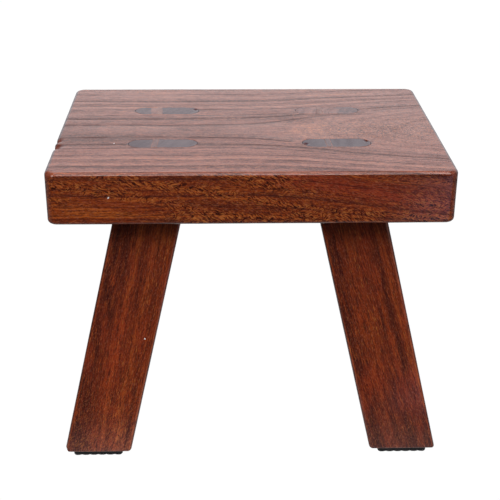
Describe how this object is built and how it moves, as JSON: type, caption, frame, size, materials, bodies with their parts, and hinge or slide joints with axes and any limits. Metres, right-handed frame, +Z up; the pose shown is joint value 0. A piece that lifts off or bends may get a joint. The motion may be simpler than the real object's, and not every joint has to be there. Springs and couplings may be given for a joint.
{
  "type": "small wooden bench stool",
  "caption": "Low rectangular stool with a thick bevelled plank seat, splayed legs held by wedged through tenons, and ribbed rubber foot pads.",
  "frame": {"origin": "on the floor, under the middle of the seat", "axes": "+Z up, X along the length and grain of the seat with +X to the right, the front faces -Y"},
  "size_m": [0.3, 0.2238, 0.24],
  "materials": {
    "lacquered_wood": "reddish brown hardwood under satin lacquer",
    "wedge_wood": "lighter hardwood under satin lacquer",
    "pad_rubber": "black moulded rubber",
    "nail_steel": "plain steel wire nail"
  },
  "bodies": {
    "root": {"seat_plank": "lacquered_wood", "leg_front_left": "lacquered_wood", "leg_front_right": "lacquered_wood", "leg_rear_left": "lacquered_wood", "leg_rear_right": "lacquered_wood", "wedge_front_left": "wedge_wood", "wedge_front_right": "wedge_wood", "wedge_rear_left": "wedge_wood", "wedge_rear_right": "wedge_wood", "pad_front_left": "pad_rubber", "pad_front_right": "pad_rubber", "pad_rear_left": "pad_rubber", "pad_rear_right": "pad_rubber", "pad_nails": "nail_steel"}
  },
  "joints": []
}
